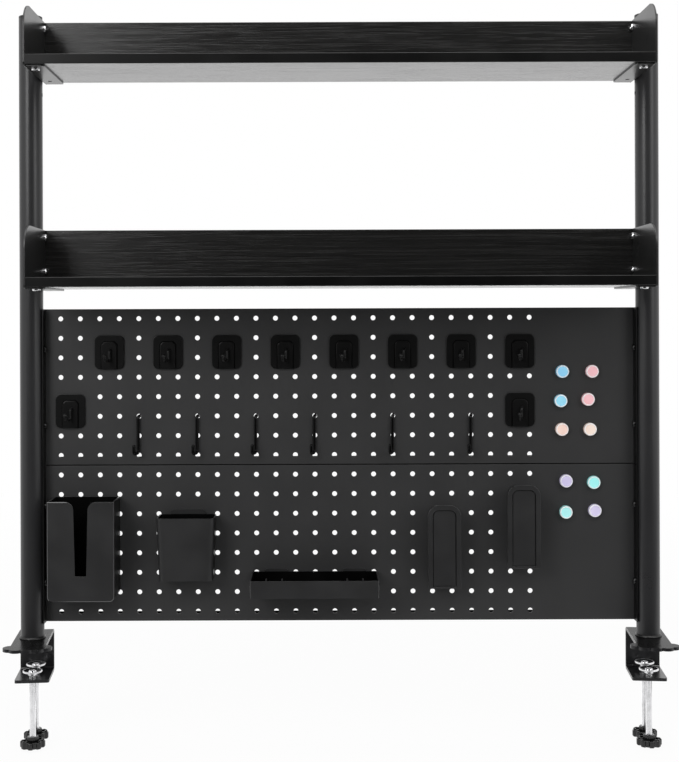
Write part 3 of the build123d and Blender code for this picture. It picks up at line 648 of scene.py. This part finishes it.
screw_plating = bright_metal("bright_screw_plating", (0.84, 0.84, 0.85), 0.14)
black_steel = bright_metal("blackened_steel", (0.05, 0.05, 0.05), 0.34)
post_seats, board_seats, rail_seats, panel_seats = [], [], [], []
for sign in sides.values():
    inward = (-sign, 0, 0)
    for level in shelf_levels.values():
        for rise in post_screw_rises:
            post_seats.append(stand(sign * plate_x, 0, level + board_thick + rise, inward))
        under = level - bracket_sheet
        board_seats.append(stand(sign * board_screw_x, board_screw_y, under, (0, 0, -1)))
        for rise in (-rail_screw_half, rail_screw_half):
            height = level + rail_screw_rise + rise
            rail_seats.append(stand(sign * rail_screw_x, flange_rear, height, (0, 1, 0)))
    for height in panel_screw_levels:
        panel_seats.append(stand(sign * panel_flange_x, 0, height, inward))
screw_set("post_screws", post_seats, screw_plating, "bolt_chrome", 4.3, 3.0, 2.4, 10)
screw_set("board_screws", board_seats, screw_plating, "bolt_chrome", 5.0, 2.2, 1.9, 7.5)
screw_set("rail_screws", rail_seats, black_steel, "black_screw", 3.6, 2.2, 1.9, 7.5)
screw_set("panel_screws", panel_seats, black_steel, "black_screw", 4.3, 3.0, 2.4, 9.4)


# ------------------------------------------------------------------------------------------
# The pegboard panels: 1.2 mm steel sheet in a fine black powder coat, punched 25 by 8 and
# folded forwards at both sides and backwards at top and bottom. Screws hold the side folds
# to the posts.

panel_ends = {"lower_panel": (22.7, 225.5), "upper_panel": (225.9, 428.7)}
panel_seam = 225.7
panel_half = 383.3
face_front, face_back, return_rear = 8.0, 9.2, 26.5


def on_panel_fold(first, second):
    """Whether an edge is a fold's outer one, beside the face or along the rear of a return."""
    beside = min(abs(first.x), abs(second.x)) > panel_half - 0.1
    upright = abs(first.z - second.z) > 150
    behind = abs(first.y - face_back) < 0.1 and abs(second.y - face_back) < 0.1
    level = abs(first.z - second.z) < 0.1 and abs(first.x - second.x) > 700
    rear = min(first.y, second.y) > return_rear - 0.1
    return (beside and upright and behind) or (level and rear)


def split_level(shape, level):
    """Splits the faces of a shape along a level, and leaves both parts joined."""
    geometry = [*shape.verts, *shape.edges, *shape.faces]
    bmesh.ops.bisect_plane(
        shape, geom=geometry, plane_co=(0, 0, level * mm), plane_no=(0, 0, 1))


def fold_panel(shape, low, high):
    """Bends the folds, and rolls the face back by 1 mm at its two level ends."""
    bend_folds(shape, on_panel_fold, 0.9)
    for share in (1.0, 0.5, 0.15):
        for level in (low + share, high - share):
            split_level(shape, level)
    for corner in shape.verts:
        share = 1 - max(0, min(corner.co.z / mm - low, high - corner.co.z / mm))
        on_face = abs(corner.co.y / mm - face_front) < 0.01
        if share > 0.01 and on_face and abs(corner.co.x / mm) < panel_flange_x + 0.1:
            corner.co.y += (1 - (1 - share ** 2) ** 0.5) * mm


def panel_face(face, low, high):
    """The panel's finishes: painted shade, near black, on the rolled ends and in the seam, and
    painted shade in a darker coat inside the flanges and on the returns."""
    lip = face.normal.y < -0.5 and face.center.y > 20 * mm
    flange = abs(face.center.x) > (panel_flange_x - 0.3) * mm
    rim = min(face.center.z - low * mm, high * mm - face.center.z) < 1.1 * mm
    rim = rim and abs(face.normal.z) > 0.35 and face.center.y < (face_back - 0.1) * mm
    seam = abs(face.center.z - panel_seam * mm) < 0.5 * mm and face.center.y < 24 * mm
    return 2 if rim or seam else int(lip or flange)


panel_coat = powder_coat("fine_black_panel_coat", (0.0275, 0.0275, 0.028), 0.42, 0.45)
# Painted shade: a darker coat on the inner faces of the side flanges and on the returns, which lie
# in shade between the panel and the posts.
painted_shade_flanges_and_returns = powder_coat("painted_shade_panel_flanges_and_returns", (0.004, 0.004, 0.004), 0.42, 0.3)
# Painted shade: a near black coat on the rolled ends and in the seam between the panels, where the
# folds and the gap fall in shade.
painted_shade_seam_and_rims = powder_coat("painted_shade_panel_seam_and_rims", (0.0006, 0.0006, 0.0006), 0.5, 0.02)
for panel, ends in panel_ends.items():
    sheet = eased_node(
        panel, panel_coat, 0.18, lambda shape: fold_panel(shape, *ends)).data
    finish_faces(sheet, (painted_shade_flanges_and_returns, painted_shade_seam_and_rims), panel_face, *ends)


# ------------------------------------------------------------------------------------------
# The pull-out fittings: a slotted box, a pen cup, a parts tray and two loop hangers, each one
# fine matt black moulding that plugs into the holes with pegs on its back.

fitting_rims = {"slotted_box": None, "pen_cup": 162.05, "parts_tray": 87.05}
groove_width, groove_depth = 1.0, 0.8


def on_front_edge(face, front):
    """Whether a face lies on the eased edge round a fitting's front."""
    return 0.3 < -face.normal.y < 0.93 and face.center.y < front


def fitting_face(face, low, high, rim):
    """A hollow fitting's finishes: painted shade, near black, on the walls and floor inside below
    the rim, a smooth front edge, and painted shade in a darker tone on the outer sides."""
    off = face.center - (low + high) / 2
    off.z = 0
    wall = off.dot(face.normal) < -4 * mm and abs(face.normal.z) < 0.3
    base = face.normal.z > 0.9 and face.center.z < low.z + 4 * mm
    below_rim = not rim or face.center.z <= rim * mm
    if (wall or base) and below_rim and face.center.y < face_front * mm:
        return 1
    if on_front_edge(face, low.y + 2 * mm):
        return 2
    return 3 if abs(face.normal.x) > 0.9 else 0


def sink_groove(shape):
    """Sinks a narrow groove round the edge of the recess in a hanger's front plate."""
    front = min(corner.co.y for corner in shape.verts)
    recess = []
    for face in shape.faces:
        if face.normal.y < -0.9 and 0.5 < (face.calc_center_median().y - front) / mm < 2:
            recess.append(face)
    rim = bmesh.ops.inset_region(shape, faces=recess, thickness=groove_width * mm)["faces"]
    bmesh.ops.inset_region(shape, faces=rim, thickness=0.02 * mm, depth=-groove_depth * mm)


def hanger_face(face, front):
    """A hanger's finishes: painted shade, near black, on the groove floor, and a smooth front
    edge.
    """
    if face.normal.y < -0.9 and 1.8 * mm < face.center.y - front < 3 * mm:
        return 1
    return 2 if on_front_edge(face, front + 1 * mm) else 0


fitting_plastic = moulded("matt_black_fittings", (0.0195, 0.0195, 0.020), 0.38, 0.45)
# Painted shade: near black on the inside walls and floor of the hollow fittings and in the
# hangers' grooves, where shade falls.
painted_shade_hollows = moulded("painted_shade_fitting_hollows", (0.0007, 0.0007, 0.0007), 0.45, 0.05)
# Painted shade: the outer left and right sides of the hollow fittings are darker than their
# fronts.
painted_shade_sides = moulded("painted_shade_fitting_sides", (0.006, 0.006, 0.006), 0.40, 0.25)
smooth_edge = moulded("smooth_black_edge", (0.0195, 0.0195, 0.020), 0.16, 1.0, 0.03)
for fitting, rim in fitting_rims.items():
    cut = (lambda shape: split_level(shape, rim)) if rim else None
    hollow = eased_node(fitting, fitting_plastic, 0.45, cut).data
    corners = [vertex.co for vertex in hollow.vertices]
    low = Vector([min(corner[axis] for corner in corners) for axis in range(3)])
    high = Vector([max(corner[axis] for corner in corners) for axis in range(3)])
    finish_faces(hollow, (painted_shade_hollows, smooth_edge, painted_shade_sides), fitting_face, low, high, rim)
for side in sides:
    shield = eased_node(
        side + "_loop_hanger", fitting_plastic, 0.8, sink_groove).data
    front = min(vertex.co.y for vertex in shield.vertices)
    finish_faces(shield, (painted_shade_hollows, smooth_edge), hanger_face, front)


# ------------------------------------------------------------------------------------------
# The plate hooks: a rounded coated plate with a raised ridge, a J hook swept to the left with
# a ball at its tip, two upturned anchors in the upper holes and two pins in the lower ones.

pitch = 25.4
hole_x0 = -362.5
hole_z0 = 35.2
hook_drop = 18.3
plate_back = 7.7
ridge_step_top = 2.6
ball_r, ball_sink = 3.0, 2.8
peg_r, peg_bend, peg_in = 2.3, 2.4, -6
pin_y = -7.1


def bent_rod(shape, points, radius, bend, place, steps=14):
    """A round rod bent along its points, with domed ends."""
    points = [Vector(point) for point in points]
    ahead = (points[1] - points[0]).normalized()
    astern = (points[-1] - points[-2]).normalized()
    path = [(points[0] + ahead * radius, ahead)]
    for before, corner, after in zip(points, points[1:], points[2:]):
        back, onward = (before - corner).normalized(), (after - corner).normalized()
        half = back.angle(onward) / 2
        centre = corner + (back + onward).normalized() * bend / sin(half)
        start = (corner + back * bend / tan(half) - centre) / bend
        stop = (corner + onward * bend / tan(half) - centre) / bend
        for share in range(9):
            outward = start.slerp(stop, share / 8)
            path.append((centre + outward * bend, (-back).slerp(onward, share / 8)))
    path.append((points[-1] - astern * radius, astern))
    flat = ahead.cross(points[2] - points[1]) if len(points) > 2 else ahead.orthogonal()
    flat.normalize()
    dips = (0.02, 0.4, 0.8, 1.2)
    first, last = path[0][0], path[-1][0]
    rings = [(first - ahead * radius * cos(dip), ahead, radius * sin(dip)) for dip in dips]
    rings += [(centre, along, radius) for centre, along in path]
    for dip in reversed(dips):
        rings.append((last + astern * radius * cos(dip), astern, radius * sin(dip)))
    made = []
    for centre, along, reach in rings:
        beside = along.cross(flat)
        ring = []
        for step in range(steps):
            angle = 2 * pi * step / steps
            point = centre + (beside * cos(angle) + flat * sin(angle)) * reach
            ring.append(shape.verts.new(place @ (point * mm)))
        made.append(ring)
    for low, high in zip(made, made[1:]):
        for step in range(steps):
            ahead_step = (step + 1) % steps
            shape.faces.new([low[step], low[ahead_step], high[ahead_step], high[step]])
    shape.faces.new(made[0])
    shape.faces.new(made[-1])


def rounded_outline(width, height, corner):
    """The corners of a rounded plate's outline, counter-clockwise."""
    outline = []
    for turn, (x, y) in enumerate(((1, 1), (-1, 1), (-1, -1), (1, -1))):
        for step in range(9):
            angle = pi / 2 * (turn + step / 8)
            across = x * (width / 2 - corner) + corner * cos(angle)
            outline.append((across, y * (height / 2 - corner) + corner * sin(angle)))
    return outline


def slab(shape, outline, low, high, place, inset=0.6):
    """A plate of one outline, with its front edge rounded over."""
    layers = [(low, 0.0), (high - inset, 0.0), (high - 0.35 * inset, 0.25 * inset), (high, inset)]
    middle = Vector((sum(x for x, y in outline), sum(y for x, y in outline))) / len(outline)
    rings = []
    for height, draw_in in layers:
        ring = []
        for x, y in outline:
            off = Vector((x, y)) - middle
            off -= Vector((copysign(draw_in, off.x), copysign(draw_in, off.y)))
            point = Vector((middle.x + off.x, middle.y + off.y, height)) * mm
            ring.append(shape.verts.new(place @ point))
        rings.append(ring)
    for under, over in zip(rings, rings[1:]):
        for count in range(len(outline)):
            shape.faces.new([under[count - 1], under[count], over[count], over[count - 1]])
    shape.faces.new(rings[0])
    shape.faces.new(rings[-1])


def hung(column, row, lower, depth):
    """Where a hook hangs: its middle below a hole, x across, y up and z out of the board."""
    centre = Vector((hole_x0 + pitch * column, depth, hole_z0 + pitch * row - lower)) * mm
    return Matrix.Translation(centre) @ Matrix.Rotation(radians(90), 4, "X")


def hook_face(face):
    """The narrow step round the ridge, whose face takes the hook's second finish: painted shadow,
    near black, along the ridge's sides.
    """
    on_step = abs(face.center.y - (plate_back - ridge_step_top) * mm) < 0.02 * mm
    return int(face.normal.y < -0.9 and on_step)


hook_coat = powder_coat("black_hook_coat", (0.0042, 0.0042, 0.0042), 0.30, 0.3)
plate_outline = rounded_outline(38.3, 43.8, 7.0)
ridge_outline = [(-10, -21.9), (10, -21.9), (10, 9.8), (6.5, 13.3), (-6.5, 13.3), (-10, 9.8)]
ridge_step_outline = [(-11, -21.9), (11, -21.9), (11, 10.4), (7.1, 14.3), (-7.1, 14.3), (-11, 10.4)]
sweep = radians(20)
jay = [(0, 0), (6, 0), (6, -14), (18, -14), (18, -5)]
jay = [(3 - sin(sweep) * out, 3 + up, 3.5 + cos(sweep) * out) for out, up in jay]
ball = [(ball_r * sin(pi * step / 10), -ball_r * cos(pi * step / 10)) for step in range(11)]
hooks = bmesh.new()
plate_sites = [(column + 0.5, 14) for column in range(2, 24, 3)] + [(0.5, 11), (23.5, 11)]
for column, row in plate_sites:
    place = hung(column, row, hook_drop, plate_back)
    slab(hooks, plate_outline, 0, 2.5, place)
    slab(hooks, ridge_step_outline, 2.2, ridge_step_top, place, 0.1)
    slab(hooks, ridge_outline, 2.4, 4.5, place, 0.9)
    bent_rod(hooks, jay, 1.7, 3.2, place)
    x, y, z = jay[-1]
    turned(hooks, ball, place @ stand(x, y - ball_sink, z), 20)
    for across in (-pitch / 2, pitch / 2):
        anchor = [(across, hook_drop, 1), (across, hook_drop, peg_in)]
        anchor.append((across, hook_drop + 7, peg_in))
        bent_rod(hooks, anchor, peg_r, peg_bend, place)
        bent_rod(hooks, [(across, pin_y, 1), (across, pin_y, peg_in)], peg_r, peg_bend, place)
made = finished("plate_hook_set", hooks, hook_coat, ["plate_hooks"], keep=40).data
# Painted shadow: a near black line on the step round each hook's ridge.
painted_ridge_shadow = powder_coat("painted_shadow_hook_ridge", (0.0004, 0.0004, 0.0004), 0.5, 0.05)
finish_faces(made, (painted_ridge_shadow,), hook_face)


# ------------------------------------------------------------------------------------------
# The wire hooks: one round coated steel wire each, hung in a hole by an end bent up behind
# the board, led down in front and up again at the tip, and swung a little to the left.

wire_coat = powder_coat("black_wire_coat", (0.0010, 0.0010, 0.0010), 0.14, 0.18, 0.04)
swing = radians(15)
bend = [(-7, 9), (-7, 0), (3.1, 0), (3.1, -47.5), (17.1, -47.5), (17.1, -35.5)]
bend = [(-sin(swing) * out, up, cos(swing) * out) for out, up in bend]
wires = bmesh.new()
for column in (4, 7, 10, 13, 17, 21):
    bent_rod(wires, bend, 2.15, 3.4, hung(column, 10, 0, face_front), 18)
finished("wire_hook_set", wires, wire_coat, ["wire_hooks"], keep=60)


# ------------------------------------------------------------------------------------------
# The magnets: ten flat round magnets under smooth pastel plastic caps, held to the steel of
# the panels' plain end.

magnet_sites = {
    "blue": ((0.31, 0.70, 1.0), [(289.3, 345.7), (287.1, 307.6)]),
    "pink": ((1.0, 0.53, 0.57), [(327.9, 345.7), (322.6, 309.4)]),
    "peach": ((1.0, 0.70, 0.61), [(288.5, 270.5), (325.0, 270.5)]),
    "lavender": ((0.68, 0.62, 0.89), [(293.7, 203.5), (330.9, 165.0)]),
    "turquoise": ((0.40, 1.0, 0.98), [(329.6, 201.5), (293.3, 163.0)]),
}
magnet_profile = [
    (0, 0.8), (6.9, 0.8), (7.2, 0), (8.0, 0), (8.4, 0.4), (8.4, 5.2), (8.2, 6.1), (7.7, 6.75),
    (7.1, 7), (6.6, 6.9), (6.2, 6.4), (5.9, 6.2), (0, 6.2),
]
rim_inner_r = 6.5
rim_rear_y = 2.2


def magnet_face(face, sites):
    """The raised rim round a cap's front, which is painted paler than the cap: a painted highlight
    where its rounded edge catches the light.
    """
    off = min((face.center - Vector((x, face_front, z)) * mm).xz.length for x, z in sites)
    return int(off > rim_inner_r * mm and face.center.y < rim_rear_y * mm)


for colour, (shade, sites) in magnet_sites.items():
    # Painted highlight: the rim round each cap's front is mixed 70% toward white.
    rim_highlight_tint = tuple(0.3 * part + 0.7 for part in shade)
    cap = moulded(colour + "_magnet_plastic", shade, 0.30, 0.5, 0.05)
    rim = moulded(colour + "_magnet_rim_painted_highlight", rim_highlight_tint, 0.30, 0.5, 0.05)
    magnets = bmesh.new()
    for x, z in sites:
        turned(magnets, magnet_profile, stand(x, face_front, z, (0, -1, 0)), 56)
    node = colour + "_magnets"
    made = finished(
        colour + "_magnet_caps", magnets, cap, [node], keep=50).data
    finish_faces(made, (rim,), magnet_face, sites)
